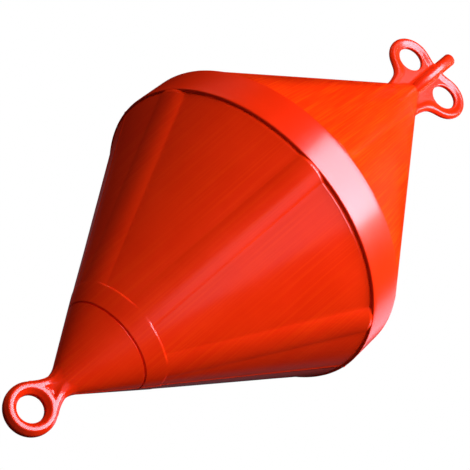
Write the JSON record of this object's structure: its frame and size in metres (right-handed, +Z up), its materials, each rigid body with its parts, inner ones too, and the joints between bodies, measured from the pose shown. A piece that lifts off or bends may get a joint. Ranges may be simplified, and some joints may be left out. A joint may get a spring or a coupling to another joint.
{
  "type": "mooring buoy",
  "caption": "Two-coned rigid plastic mooring buoy with a girth belt, ribbed cones, paired pick-up eyes round a filler tube on top and a thick mooring eye below.",
  "frame": {"origin": "on the buoy's axis at the waterline, which is the lower edge of the girth belt", "axes": "+Z up the axis towards the paired pick-up eyes, X along the plane of the eyes, -Y out of the front, where one rib of each cone faces"},
  "size_m": [0.5, 0.5, 1.075],
  "materials": {
    "hull_skin": "moulded orange-red plastic, semi-gloss, with fine tool marks along the panels",
    "eye_moulding": "moulded orange-red plastic, glossier, rounded at its rims",
    "tube_moulding": "moulded orange-red plastic, semi-gloss",
    "plug_moulding": "moulded orange-red plastic, matt face"
  },
  "bodies": {
    "root": {"girth_belt": "hull_skin", "lower_cone": "hull_skin", "upper_cone": "hull_skin", "nose_cone": "hull_skin", "pickup_eye_left": "eye_moulding", "pickup_eye_right": "eye_moulding", "mooring_eye": "eye_moulding", "filler_tube": "tube_moulding", "filler_plug": "plug_moulding"}
  },
  "joints": []
}
